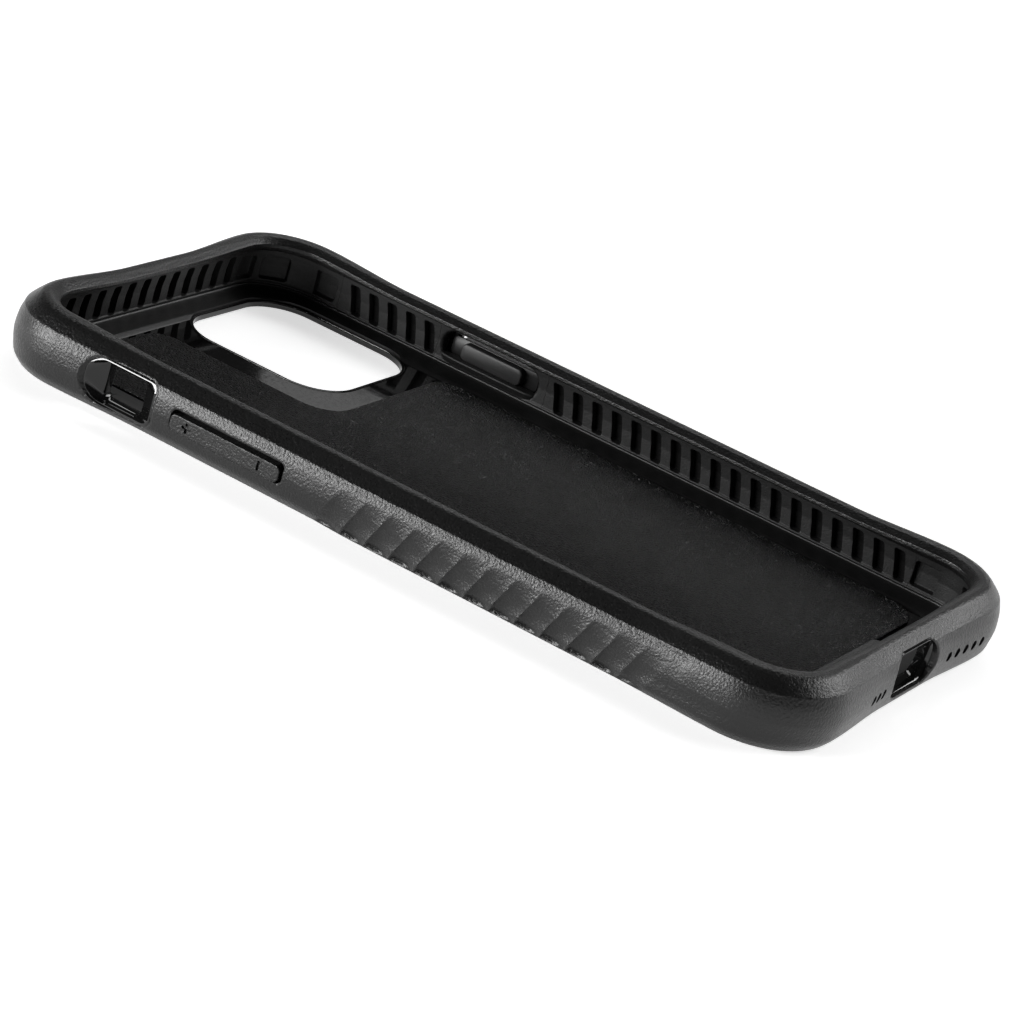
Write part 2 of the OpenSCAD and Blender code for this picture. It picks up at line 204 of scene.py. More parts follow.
def rounded_rect(cu, cv, hu, hv, r, n=8, r_low=None):
    """Points of a rounded rectangle, always 4 * (n + 1) of them, so that rings can be joined.

    r rounds the corners on the +u side and r_low those on the -u side, which are the same if it is left out.
    """
    largest = min(hu, hv) - 1e-3
    radii = {1: min(r, largest), -1: min(r if r_low is None else r_low, largest)}
    pts = []
    for q, (su, sv) in enumerate([(1, 1), (-1, 1), (-1, -1), (1, -1)]):
        r = radii[su]
        for k in range(n + 1):
            a = math.radians(90 * (q + k / n))
            pts.append((cu + su * (hu - r) + r * math.cos(a), cv + sv * (hv - r) + r * math.sin(a)))
    return np.array(pts)


def rect_distance(u, v, hu, hv, r):
    """Signed distance to a rounded rectangle centred on 0, negative inside."""
    qu, qv = np.abs(u) - (hu - r), np.abs(v) - (hv - r)
    outside = np.hypot(np.maximum(qu, 0), np.maximum(qv, 0))
    return outside + np.minimum(np.maximum(qu, qv), 0) - r


def round_edge(distance, radius):
    """Depth by which a surface falls away near an opening's edge, so that the edge is rounded."""
    s = np.clip(radius - distance, 0, radius)
    return radius - np.sqrt(np.maximum(radius * radius - s * s, 0))


def side_ring(x, outline):
    return np.column_stack([np.full(len(outline), x), outline[:, 0], outline[:, 1]])


def end_ring(y, outline):
    return np.column_stack([outline[:, 0], np.full(len(outline), y), outline[:, 1]])


def level_ring(z, outline):
    return np.column_stack([outline[:, 0], outline[:, 1], np.full(len(outline), z)])


# ---------------------------------------------------------------- the path round the case
def spread(low, high, step, fine=()):
    """Positions from low to high, with smaller steps in the fine stretches (from, to, step)."""
    marks = [low]
    while marks[-1] < high - 1e-6:
        here = marks[-1]
        size = min([step] + [s for a, b, s in fine if a - step <= here <= b])
        marks.append(min(high, here + size))
    if len(marks) > 2 and marks[-1] - marks[-2] < 0.05:
        del marks[-2]
    return np.array(marks)


def corner_signs(quadrant):
    return (1 if quadrant in (0, 3) else -1), (1 if quadrant < 2 else -1)


def arc_stations(quadrant, count):
    sx, sy = corner_signs(quadrant)
    angles = 90 * (quadrant + np.linspace(0, 1, count + 1))
    return [(sx * CX, sy * CY, a, None, None) for a in angles]


def side_stations(direction, marks):
    """Stations on a straight side; marks run anticlockwise and exclude the corners' own ends."""
    if direction in (LEFT, RIGHT):
        cx = CX if direction == RIGHT else -CX
        return [(cx, t, direction, direction, t) for t in marks]
    cy = CY if direction == TOP else -CY
    return [(t, cy, direction, direction, t) for t in marks]


def loop(step, corner):
    """Stations right round the case: (centre x, centre y, angle, side, position along the side)."""
    stations = []
    order = [(TOP, CX, -1), (LEFT, CY, -1), (BOTTOM, CX, 1), (RIGHT, CY, 1)]
    for quadrant, (side, half, sign) in enumerate(order):
        stations += arc_stations(quadrant, corner)
        marks = spread(-half, half, step)[1:-1]
        stations += side_stations(side, marks if sign > 0 else marks[::-1])
    return stations


def corner_weight(station):
    side, t = station[3], station[4]
    if side is None:
        return 1.0
    half = CY if side in (LEFT, RIGHT) else CX
    return float(smooth(1 - (half - abs(t)) / CORNER_FADE))


def to_points(station, r, z, shift=0.0):
    a = math.radians(station[2])
    c, s = math.cos(a), math.sin(a)
    x = station[0] + r * c
    y = station[1] + r * s
    if station[3] in (LEFT, RIGHT):
        y = y + shift
    elif station[3] is not None:
        x = x + shift
    return np.column_stack([x, y, z])


# ---------------------------------------------------------------- materials
def node_tree(name):
    mat = bpy.data.materials.new(name)
    mat.use_nodes = True
    tree = mat.node_tree
    tree.nodes.clear()
    out = tree.nodes.new("ShaderNodeOutputMaterial")
    shader = tree.nodes.new("ShaderNodeBsdfPrincipled")
    tree.links.new(shader.outputs["BSDF"], out.inputs["Surface"])
    coords = tree.nodes.new("ShaderNodeTexCoord")
    scale = tree.nodes.new("ShaderNodeVectorMath")
    scale.operation = "SCALE"
    scale.inputs["Scale"].default_value = 1 / MM
    tree.links.new(coords.outputs["Object"], scale.inputs[0])
    return mat, tree, shader, scale.outputs[0]


def noise(tree, vector, scale, detail=2.0, rough=0.5, distortion=0.0):
    node = tree.nodes.new("ShaderNodeTexNoise")
    node.inputs["Scale"].default_value = scale
    node.inputs["Detail"].default_value = detail
    node.inputs["Roughness"].default_value = rough
    node.inputs["Distortion"].default_value = distortion
    tree.links.new(vector, node.inputs["Vector"])
    return node.outputs["Fac"]


def voronoi(tree, vector, scale, feature="F1", smoothness=0.5):
    node = tree.nodes.new("ShaderNodeTexVoronoi")
    node.feature = feature
    node.inputs["Scale"].default_value = scale
    if feature == "SMOOTH_F1":
        node.inputs["Smoothness"].default_value = smoothness
    tree.links.new(vector, node.inputs["Vector"])
    return node.outputs["Distance"]


def remap(tree, value, low, high, to_low, to_high):
    node = tree.nodes.new("ShaderNodeMapRange")
    for key, v in (("From Min", low), ("From Max", high), ("To Min", to_low), ("To Max", to_high)):
        node.inputs[key].default_value = v
    tree.links.new(value, node.inputs["Value"])
    return node.outputs["Result"]


def math_node(tree, operation, a, b):
    node = tree.nodes.new("ShaderNodeMath")
    node.operation = operation
    for k, v in enumerate((a, b)):
        if isinstance(v, (int, float)):
            node.inputs[k].default_value = v
        else:
            tree.links.new(v, node.inputs[k])
    return node.outputs[0]


def bump(tree, height, strength, distance_mm, previous=None):
    node = tree.nodes.new("ShaderNodeBump")
    node.inputs["Strength"].default_value = strength
    node.inputs["Distance"].default_value = distance_mm * MM
    tree.links.new(height, node.inputs["Height"])
    if previous is not None:
        tree.links.new(previous, node.inputs["Normal"])
    return node.outputs["Normal"]


def two_tone(tree, factor, dark, light, low=0.3, high=0.7):
    ramp = tree.nodes.new("ShaderNodeValToRGB")
    ramp.color_ramp.elements[0].position = low
    ramp.color_ramp.elements[1].position = high
    ramp.color_ramp.elements[0].color = (*dark, 1)
    ramp.color_ramp.elements[1].color = (*light, 1)
    tree.links.new(factor, ramp.inputs["Fac"])
    return ramp.outputs["Color"]


def grey(v):
    return (v, v, v)


def moulded_rubber(name, dark, light, rough, grain, strength, specular=0.4):
    """Soft matte rubber with a fine pebble grain, faint cloudiness and uneven gloss."""
    mat, tree, shader, mm = node_tree(name)
    fine = noise(tree, mm, grain, 3.0, 0.62)
    pebble = voronoi(tree, mm, grain * 0.8, "SMOOTH_F1", 0.6)
    height = math_node(tree, "ADD", fine, math_node(tree, "MULTIPLY", pebble, 0.6))
    normal = bump(tree, height, strength, 0.08)
    cloud = noise(tree, mm, 0.06, 4.0, 0.55)
    tree.links.new(two_tone(tree, cloud, grey(dark), grey(light)), shader.inputs["Base Color"])
    tree.links.new(remap(tree, fine, 0.3, 0.7, rough - 0.07, rough + 0.07), shader.inputs["Roughness"])
    tree.links.new(normal, shader.inputs["Normal"])
    shader.inputs["Specular IOR Level"].default_value = specular
    return mat


def glossy_plastic(name, dark, light, rough):
    """Hard polished plastic with faint moulding waves and a little dust in its gloss."""
    mat, tree, shader, mm = node_tree(name)
    cloud = noise(tree, mm, 0.12, 3.0, 0.6)
    dust = noise(tree, mm, 2.2, 5.0, 0.7)
    tree.links.new(two_tone(tree, cloud, grey(dark), grey(light)), shader.inputs["Base Color"])
    tree.links.new(remap(tree, dust, 0.45, 0.85, rough, rough + 0.14), shader.inputs["Roughness"])
    tree.links.new(bump(tree, cloud, 0.1, 0.05), shader.inputs["Normal"])
    shader.inputs["IOR"].default_value = 1.5
    return mat


def leather_grain(name, dark, light, rough, cell):
    """Leather-grain sheet: rounded cells with wavy creases between them."""
    mat, tree, shader, mm = node_tree(name)
    warp = tree.nodes.new("ShaderNodeTexNoise")
    warp.inputs["Scale"].default_value = 0.5
    warp.inputs["Detail"].default_value = 2.0
    tree.links.new(mm, warp.inputs["Vector"])
    mix = tree.nodes.new("ShaderNodeVectorMath")
    mix.operation = "MULTIPLY_ADD"
    mix.inputs[1].default_value = (1.2, 1.2, 1.2)
    tree.links.new(warp.outputs["Color"], mix.inputs[0])
    tree.links.new(mm, mix.inputs[2])
    cells = voronoi(tree, mix.outputs[0], cell, "DISTANCE_TO_EDGE")
    creases = remap(tree, cells, 0.0, 0.22, 0.0, 1.0)
    fine = noise(tree, mm, cell * 1.4, 4.0, 0.65)
    height = math_node(tree, "ADD", creases, math_node(tree, "MULTIPLY", fine, 0.9))
    normal = bump(tree, height, 1.0, 0.5)
    cloud = noise(tree, mm, 0.05, 3.0, 0.5)
    tone = math_node(tree, "MULTIPLY", creases, cloud)
    tree.links.new(two_tone(tree, tone, grey(dark), grey(light), 0.1, 0.7), shader.inputs["Base Color"])
    tree.links.new(remap(tree, fine, 0.3, 0.7, rough - 0.08, rough + 0.08), shader.inputs["Roughness"])
    tree.links.new(normal, shader.inputs["Normal"])
    return mat


def satin_plastic(name, dark, light, rough):
    """Satin moulded plastic with fine spark-eroded texture."""
    mat, tree, shader, mm = node_tree(name)
    fine = noise(tree, mm, 5.0, 3.0, 0.6)
    cloud = noise(tree, mm, 0.2, 3.0, 0.5)
    tree.links.new(two_tone(tree, cloud, grey(dark), grey(light)), shader.inputs["Base Color"])
    tree.links.new(remap(tree, fine, 0.3, 0.7, rough - 0.06, rough + 0.06), shader.inputs["Roughness"])
    tree.links.new(bump(tree, fine, 0.25, 0.03), shader.inputs["Normal"])
    return mat


RUBBER = moulded_rubber("bumper_rubber", dark=0.0035, light=0.0055, rough=0.33, grain=3.0, strength=1.0)
STRIP_RUBBER = moulded_rubber("strip_rubber", dark=0.005, light=0.008, rough=0.5, grain=4.0, strength=0.5,
                              specular=0.3)
# Painted shade: a darker, duller rubber for the faces deep in the strips' slots and pockets, standing in for
# the shade that falls there.
STRIP_PAINTED_SHADE = moulded_rubber("strip_recess_painted_shade", dark=0.0015, light=0.0025, rough=0.62, grain=4.0, strength=0.3,
                              specular=0.08)
GLOSS = glossy_plastic("shell_gloss", dark=0.003, light=0.0045, rough=0.04)
TRAY_SATIN = satin_plastic("tray_satin", dark=0.004, light=0.006, rough=0.44)
LINING = leather_grain("lining_grain", dark=0.003, light=0.008, rough=0.42, cell=1.7)
SKIN = leather_grain("back_texture", dark=0.006, light=0.011, rough=0.5, cell=1.6)
PRESSER = satin_plastic("presser_plastic", dark=0.006, light=0.009, rough=0.5)
ADHESIVE = satin_plastic("adhesive_film", dark=0.3, light=0.38, rough=0.5)


# ---------------------------------------------------------------- bumper
mute_low, mute_high = box_mm("mute_frame")
MUTE_Y = (mute_low[1] + mute_high[1]) / 2
MUTE_Z, MUTE_HALF = 5.2, (7.1, 3.95)
MUTE_R, MUTE_R_LOW = 3.6, 1.9
volume_low, volume_high = box_mm("volume_bar")
power_low, power_high = box_mm("power_key")
VOLUME = ((volume_low + volume_high) / 2)[1:], ((volume_high - volume_low) / 2)[1:]
POWER = ((power_low + power_high) / 2)[1:], ((power_high - power_low) / 2)[1:]
port_high = box_mm("port_frame")[1]
PORT_Z, PORT_HALF = 5.75, (7.8, 3.7)
PORT_R = PORT_HALF[1] - 0.02
WINDOW_R, GAP_TOP, GAP_END = 0.9, 0.6, 0.5

# The bumper's section: from the foot up the outer wall, over the rim, and down inside the lip to the border.
bumper_outline = fillet(
    [(FLANGE_R, 0), (OUTER_R - 1.9, 0), (OUTER_R - 0.65, 1.5), (OUTER_R, 4.9), (OUTER_R - 0.3, 7.5),
     (OUTER_R - 0.9, CREASE_Z), (OUTER_R - 3.1, RIM_H - 0.25), (OUTER_R - 4.0, RIM_H),
     (LIP_R + 1.1, RIM_H - 0.3), (LIP_R, RIM_H - 1.15), (LIP_R, 9.5), (LIP_R + 0.3, LIP_LOW),
     (BUMPER_IN_R, LIP_LOW), (BUMPER_IN_R, FLANGE_Z), (FLANGE_R, FLANGE_Z)],
    [0.1, 1.0, 2.6, 7, 4, 0.5, 1.5, 0.8, 0.5, 0.2, 0.15, 0.1, 0.04, 0.04, 0.04], 0.3, 10)


def groove_distance(y, z, centre, half):
    """Distance to a key's window, which leaves a gap along the key's upper edge and at its -Y end."""
    cy, cz = centre[0] - GAP_END / 2, centre[1] + GAP_TOP / 2
    return rect_distance(y - cy, z - cz, half[0] + GAP_END / 2, half[1] + GAP_TOP / 2, WINDOW_R)


def mute_distance(y, z):
    return rect_distance(y - MUTE_Y, z - MUTE_Z, *MUTE_HALF, np.where(y > MUTE_Y, MUTE_R, MUTE_R_LOW))


def flute_depth(y, z):
    """Depth of the slanted grip flutes: each is steep on one flank, and they fade out up the wall."""
    phase = (FLUTE_TOP_Y + FLUTE_SHEAR * (z - 1.5) - y) / FLUTE_PITCH
    index = np.floor(phase)
    t = phase - index
    inside = (index >= 0) & (index < FLUTE_COUNT)
    size = np.where((index == 0) | (index == FLUTE_COUNT - 1), 0.65, 1.0)
    fade = np.clip((8.0 - z) / 6.0, 0, 1) ** 1.2 * smooth((z - 0.15) / 0.75)
    u = t ** 0.6
    return np.where(inside, size * FLUTE_DEPTH * (1 - (2 * u - 1) ** 2) * fade, 0.0)


def side_depth(side, t, z):
    """How far the outer wall is set back: the flutes, and the rounded edges of the openings."""
    depth = np.zeros_like(z)
    if side in (LEFT, RIGHT):
        depth = np.maximum(depth, flute_depth(t, z))
    if side == LEFT:
        depth = np.maximum(depth, round_edge(mute_distance(t, z), 0.2))
        depth = np.maximum(depth, round_edge(groove_distance(t, z, *VOLUME), 0.3))
    if side == RIGHT:
        depth = np.maximum(depth, round_edge(groove_distance(t, z, *POWER), 0.3))
    if side == BOTTOM:
        depth = np.maximum(depth, round_edge(rect_distance(t, z - PORT_Z, *PORT_HALF, PORT_R), 0.35))
    return depth


def grip_flare(station, z):
    """Extra width of the foot below the flutes, carried on round the -Y corners."""
    along = station[1] if station[4] is None or station[3] in (TOP, BOTTOM) else station[4]
    flare = GRIP_FLARE * math.cos(math.radians(station[2])) ** 2
    return flare * smooth((FLARE_TOP_Y - along) / FLARE_RUN) * smooth((FLARE_Z - z) / FLARE_Z)


def bumper_ring(station):
    """The bumper's section at a station, with its corner, end, flare, flutes and openings worked in."""
    w = corner_weight(station)
    r, z = bumper_outline[:, 0].copy(), bumper_outline[:, 1].copy()
    outer = r > BUMPER_IN_R + 0.2
    reach = np.where(outer | (z > LIP_LOW + 0.5), smooth((r - FLANGE_R) / 3), 0)
    trim = END_TRIM * math.sin(math.radians(station[2])) ** 4
    rise = np.where((z > LIP_LOW + 0.05) | outer, CORNER_LIFT * smooth((z - 7) / 3.5), 0)
    r = r + reach * (w * CORNER_BULGE - trim + grip_flare(station, z))
    z = z + w * rise
    side, t = station[3], station[4]
    shift = np.zeros_like(z)
    if side in (LEFT, RIGHT):
        near_flutes = smooth((16.5 - t) / 6) * smooth((t + 57) / 6)
        wall = outer & (z < 9.5)
        shift = np.where(wall, FLUTE_SHEAR * (z - 1.5) * near_flutes, 0)
        shift *= smooth((9.5 - z) / 1.5)
    if side is not None:
        wall = r > WALL_R
        r = r - np.where(wall, side_depth(side, t + shift, z), 0)
    return to_points(station, r, z, shift)


STEPS_PER_FLUTE, CORNER_STEPS = 14, 22
flute_marks = FLUTE_TOP_Y - FLUTE_PITCH * np.arange(-0.5, FLUTE_COUNT + 0.5, 1 / STEPS_PER_FLUTE)
flute_low, flute_high = flute_marks.min(), flute_marks.max()


def long_side_marks(fine):
    """Positions up a long side: the flutes' own, and above them fine steps at the openings."""
    lower = spread(-CY, flute_low - 0.1, 0.7)
    upper = spread(flute_high + 0.1, CY, 0.7, fine)
    return np.concatenate([lower[1:], flute_marks[::-1], upper[:-1]])


FINE = 0.2
volume_fine, mute_fine = (15, 41, FINE), (40, 58, FINE)
power_fine, port_fine = (15, 36, FINE), (-9.5, 9.5, FINE)
bumper_sides = [side_stations(TOP, spread(-CX, CX, 0.8)[1:-1][::-1]),
                side_stations(LEFT, long_side_marks([volume_fine, mute_fine])[::-1]),
                side_stations(BOTTOM, spread(-CX, CX, 0.6, [port_fine])[1:-1]),
                side_stations(RIGHT, long_side_marks([power_fine]))]
bumper_stations = []
for quadrant, side in enumerate(bumper_sides):
    bumper_stations += arc_stations(quadrant, CORNER_STEPS) + side
bumper = sweep("bumper_body", [bumper_ring(s) for s in bumper_stations], True, RUBBER)


def prism_x(name, sections):
    """Cutter along X through rings given as (x, outline)."""
    return sweep(name, [side_ring(x, o) for x, o in sections], False, None)


def prism_y(name, sections):
    """Cutter along Y through rings given as (y, outline)."""
    return sweep(name, [end_ring(y, o) for y, o in sections], False, None)


def mute_outline(grow_y, grow_z, shrink_r):
    return rounded_rect(MUTE_Y, MUTE_Z, MUTE_HALF[0] + grow_y, MUTE_HALF[1] + grow_z, MUTE_R - shrink_r, 8,
                        MUTE_R_LOW - shrink_r)


def button_cutters(side, centre, half):
    """A key's window through the wall, and the wider step behind it that holds the key's plate."""
    outline = rounded_rect(centre[0] - GAP_END / 2, centre[1] + GAP_TOP / 2, half[0] + GAP_END / 2 + 0.05,
                           half[1] + GAP_TOP / 2 + 0.05, WINDOW_R)
    recess = rounded_rect(centre[0], centre[1], half[0] + 1.5, half[1] + 0.9, 1.2)
    s = SIGN[side]
    inner = sorted([s * (CX + BUMPER_IN_R - 0.4), s * (CX + BUMPER_IN_R + 1.1)])
    through = sorted([s * (CX + BUMPER_IN_R - 0.5), s * (SIDE_X + 2)])
    return [prism_x("cut_step", [(x, recess) for x in inner]),
            prism_x("cut_window", [(x, outline) for x in through])]


SOUND_Z, SOUND_LEAN, SOUND_HALF_H = 4.9, 22.0, 0.85
MIC_X, MIC_PITCH, MIC_HALF_W, MIC_COUNT = -15.2, 1.9, 0.55, 3
SPEAKER_X, SPEAKER_PITCH, SPEAKER_HALF_W, SPEAKER_COUNT = 12.6, 2.85, 0.7, 5
sound_slots = [(MIC_X + MIC_PITCH * i, MIC_HALF_W) for i in range(MIC_COUNT)]
sound_slots += [(SPEAKER_X + SPEAKER_PITCH * i, SPEAKER_HALF_W) for i in range(SPEAKER_COUNT)]


def slot_outline(x, half_w, y):
    """The ring of one leaning sound slot at the given y."""
    pts = rounded_rect(0, 0, half_w, SOUND_HALF_H, half_w - 0.02, 5)
    a = math.radians(SOUND_LEAN)
    c, s = math.cos(a), math.sin(a)
    u = pts[:, 0] * c + pts[:, 1] * s
    v = -pts[:, 0] * s + pts[:, 1] * c
    return end_ring(y, np.column_stack([x + u, SOUND_Z + v]))


def slot_cutters():
    ends = (-END_Y - 1.5, -CY - POCKET_R + 0.5)
    return [sweep("cut_slot", [slot_outline(x, half_w, y) for y in ends], False, None)
            for x, half_w in sound_slots]


cutters = [prism_x("cut_mute", [(-SIDE_X - 1.0, mute_outline(0.9, 0.0, 0.0)),
                                (-SIDE_X, mute_outline(0, 0, 0)),
                                (-CX - BUMPER_IN_R + 0.3, mute_outline(-2.9, -0.05, 0.7))])]
cutters += button_cutters(LEFT, *VOLUME)
cutters += button_cutters(RIGHT, *POWER)
cutters += [prism_y("cut_port", [(y, rounded_rect(0, PORT_Z, *PORT_HALF, PORT_R, 12))
                                 for y in (-END_Y - 2, -CY - BUMPER_IN_R + 0.5)])]
cutters += slot_cutters()
cut(bumper, cutters, BUMPER_SHARP)
place(bumper, "case", "bumper", "bumper")


def lip_tab():
    """A flat shelf on the lip beside the port, with a straight inner edge and a slanted end."""
    inner, back, end_x, slant = 7.1, LIP_R + 0.9, -5.6, 0.8
    corner_from, corner_to = 231, BOTTOM
    arc = [(-CX + back * math.cos(a), -CY + back * math.sin(a))
           for a in np.radians(np.linspace(corner_from, corner_to, 9))]
    plan = arc + [(end_x, -CY - back), (end_x, -CY - LIP_R), (end_x - slant, -CY - inner)]
    xs, ys = np.array(plan).T
    inset_and_z = [(0.06, 9.35), (0.0, 9.41), (0.0, 9.85), (0.04, 9.93), (0.12, 9.98)]
    rings = []
    for inset, z in inset_and_z:
        shrunk = np.column_stack([xs, np.minimum(ys, -CY - inner - inset)])
        rings.append(level_ring(z, shrunk))
    tab = sweep("lip_shelf", rings, False, RUBBER)
    return place(tab, "case", "bumper")


lip_tab()

# ---------------------------------------------------------------- hard shell
def rise_curve(count):
    """The tray's rise, as (r, z): a small step round the lining, then a curve up to the skirt."""
    points = [(POCKET_R - 5.2, FLOOR_Z), (POCKET_R - 4.72, FLOOR_Z), (POCKET_R - 4.68, FLOOR_Z + 0.04)]
    foot_r, foot_z = POCKET_R - 4.5, LINING_Z - 0.02
    for k in range(count + 1):
        a = math.radians(6 + 84 * k / count)
        points.append((foot_r + (POCKET_R - 0.1 - foot_r) * math.sin(a),
                       foot_z + (STRIP_LOW - 0.1 - foot_z) * (1 - math.cos(a))))
    return points


def filled_sweep(name, section, stations, material):
    """Closed path swept by an open section whose first and last points are the edges of flat fills."""
    rings = np.array([to_points(s, section[:, 0], section[:, 1]) for s in stations])
    n, m = rings.shape[:2]
    faces = grid_faces(n, m, True, False)
    faces.append(tuple(i * m for i in range(n)))
    faces.append(tuple(i * m + m - 1 for i in range(n - 1, -1, -1)))
    return add_object(name, rings.reshape(-1, 3), faces, material)


plain_stations = loop(6.0, 14)
camera_low, camera_high = box_mm("camera_bezel")
BEZEL_T, CAMERA_GAP = 0.6, 0.05
CAMERA_C = ((camera_low + camera_high) / 2)[:2]
CAMERA_HALF = ((camera_high - camera_low) / 2)[:2] - BEZEL_T
CAMERA_R = 8.0


def camera_outline(grow, n=16):
    return rounded_rect(*CAMERA_C, CAMERA_HALF[0] + grow, CAMERA_HALF[1] + grow, CAMERA_R + grow, n)


def camera_cutter(low_z, high_z):
    """Cuts a sheet clear of the camera opening's edge."""
    outline = camera_outline(BEZEL_T + CAMERA_GAP)
    return sweep("cut_camera", [level_ring(z, outline) for z in (low_z, high_z)], False, None)


def box_cutter(low, high):
    outline = rounded_rect((low[0] + high[0]) / 2, (low[1] + high[1]) / 2, (high[0] - low[0]) / 2,
                           (high[1] - low[1]) / 2, 0.3, 3)
    return sweep("cut_box", [level_ring(z, outline) for z in (low[2], high[2])], False, None)


SKIRT_Z = 2.55
shell_section = np.array([(POCKET_R - 5.2, SHELL_Z), (STRIP_R - 0.2, SHELL_Z), (STRIP_R, SHELL_Z + 0.2),
                          (STRIP_R, SKIRT_Z - 0.1), (STRIP_R - 0.1, SKIRT_Z), (POCKET_R, SKIRT_Z)]
                         + rise_curve(16)[::-1])
shell = filled_sweep("tray_shell", shell_section, plain_stations, GLOSS)
shell.data.materials.append(TRAY_SATIN)
MUTE_HOLE = (3.6, 3.35)
mute_room, port_room, above = 6, 9.4, 5
outside_x, outside_y = -CX - STRIP_R - 1, -CY - STRIP_R - 1
cut(shell, [
    camera_cutter(0, 4),
    box_cutter((outside_x, MUTE_Y - mute_room, FLOOR_Z + 0.01),
               (-CX - POCKET_R + 0.15, MUTE_Y + mute_room, above)),
    box_cutter((outside_x, MUTE_Y - MUTE_HOLE[0], LINING_Z + 0.1), (-CX - 6.2, MUTE_Y + MUTE_HOLE[0], above)),
    box_cutter((-port_room, outside_y, FLOOR_Z + 0.01), (port_room, -CY - POCKET_R + 0.15, above))])
for face in shell.data.polygons:
    flat_floor = face.normal.z > 0.999 and abs(face.center.z - FLOOR_Z * MM) < 0.05 * MM
    face.material_index = 0 if flat_floor else 1
place(shell, "case", "shell", "hard_shell")

bezel_low, bezel_top = camera_low[2], camera_high[2]
bezel_rings = [(0.0, bezel_low + 0.1), (0.0, bezel_top - 0.12), (0.04, bezel_top - 0.03), (0.14, bezel_top),
               (0.46, bezel_top), (0.56, bezel_top - 0.03), (0.6, bezel_top - 0.12), (0.6, bezel_low + 0.1),
               (0.5, bezel_low), (0.1, bezel_low)]
ring_points = np.array([level_ring(z, camera_outline(g)) for g, z in bezel_rings])
bezel = sweep("camera_opening_edge", ring_points.transpose(1, 0, 2), True, GLOSS)
place(bezel, "case", "shell", "camera_bezel")


def window_liner(name, rings, to_ring, material):
    """A closed liner round a window; rings go round its section as (position along the hole, outline)."""
    points = np.array([to_ring(position, outline) for position, outline in rings])
    return sweep(name, points.transpose(1, 0, 2), True, material)


outer_side = bumper_outline[(bumper_outline[:, 0] > WALL_R) & (bumper_outline[:, 1] > 0.01)]
outer_side = outer_side[np.argsort(outer_side[:, 1])]


def side_face(z):
    """Radius of the bumper's outer face at height z on a straight side."""
    return np.interp(z, outer_side[:, 1], outer_side[:, 0])


mute_mid, mute_in = -CX - STRIP_R, mute_high[0]
mute_out = -SIDE_X + 0.3
FRAME_INSET = 0.12


def mute_frame_ring(x, outline):
    """A ring of the window's frame, kept just inside the bumper's curved face."""
    ring = side_ring(x, outline)
    ring[:, 0] = np.maximum(ring[:, 0], -CX - side_face(ring[:, 2]) + FRAME_INSET)
    return ring


def mute_hole(grow, r):
    return rounded_rect(MUTE_Y, MUTE_Z, MUTE_HOLE[0] + grow, MUTE_HOLE[1] + grow, r, 8)


def mute_mouth(shrink):
    return rounded_rect(MUTE_Y, MUTE_Z, 6.75 - shrink, 3.88 - shrink, MUTE_R - 0.1 - shrink, 8,
                        MUTE_R_LOW - 0.1 - shrink)


def mute_flange(half_y, half_z):
    return rounded_rect(MUTE_Y, MUTE_Z, half_y, half_z, 1.0)


mute_frame = window_liner("mute_window_frame", [
    (mute_in + 0.02, mute_hole(0.22, 1.2)), (mute_in - 0.15, mute_hole(0.05, 1.1)),
    (mute_in - 0.4, mute_hole(0, 1.0)), (mute_mid - 0.1, mute_hole(0.02, 1.0)),
    (mute_mid - 0.3, mute_hole(0.12, 1.1)), (mute_mid - 0.5, mute_hole(0.3, 1.3)),
    (mute_out + 0.34, mute_mouth(0.4)), (mute_out + 0.1, mute_mouth(0.28)),
    (mute_out + 0.02, mute_mouth(0.18)), (mute_out, mute_mouth(0.08)), (mute_out + 0.05, mute_mouth(0.0)),
    (mute_mid - 0.05, mute_hole(0.5, 1.5)), (mute_mid, mute_flange(5.8, 3.9)),
    (mute_mid + 0.1, mute_flange(5.8, 3.94)), (mute_in - 0.1, mute_flange(5.8, 3.94)),
    (mute_in, mute_flange(5.7, 3.86))], mute_frame_ring, GLOSS)
place(mute_frame, "case", "shell", "mute_frame")

port_mid, port_in = -CY - STRIP_R, port_high[1]
port_out = -END_Y + 1.3


def port_ring(hu, hv, r=9):
    return rounded_rect(0, PORT_Z, hu, hv, min(r, hv - 0.02), 14)


port_frame = window_liner("port_tunnel", [
    (port_in, port_ring(7.5, 3.3)), (port_in - 0.2, port_ring(7.32, 3.2)),
    (port_mid - 0.2, port_ring(7.3, 3.2)), (port_out + 0.5, port_ring(7.34, 3.24)),
    (port_out + 0.15, port_ring(7.44, 3.34)),
    (port_out, port_ring(7.6, 3.5)), (port_out + 0.02, port_ring(7.7, 3.6)),
    (port_out + 0.12, port_ring(7.74, 3.64)), (port_mid - 0.02, port_ring(7.74, 3.64)),
    (port_mid, port_ring(9.2, 3.38, 1.2)), (port_mid + 0.1, port_ring(9.3, 3.43, 1.0)),
    (port_in - 0.12, port_ring(9.3, 3.43, 1.0)), (port_in, port_ring(9.1, 3.35, 1.0))], end_ring, GLOSS)
place(port_frame, "case", "shell", "port_frame")


# ---------------------------------------------------------------- lining and back
def inset_slab(name, outline, z_low, z_high, edge, material):
    """A flat sheet with softly rounded upper and lower edges."""
    outline = np.asarray(outline)
    n = len(outline)
    before, after = np.roll(outline, 1, 0), np.roll(outline, -1, 0)
    tangent = after - before
    tangent /= np.linalg.norm(tangent, axis=1)[:, None]
    inward = np.column_stack([-tangent[:, 1], tangent[:, 0]])
    rings = []
    for inset, z in ((edge, z_low), (0, z_low + edge), (0, z_high - edge), (edge * 0.3, z_high - edge * 0.3),
                     (edge, z_high)):
        rings.append(level_ring(z, outline + inward * inset))
    rings = np.array(rings)
    m = len(rings)
    faces = grid_faces(m, n, False)
    faces.append(tuple(range(n - 1, -1, -1)))
    faces.append(tuple((m - 1) * n + k for k in range(n)))
    return add_object(name, rings.reshape(-1, 3), faces, material)


lining_low, lining_high = box_mm("lining")


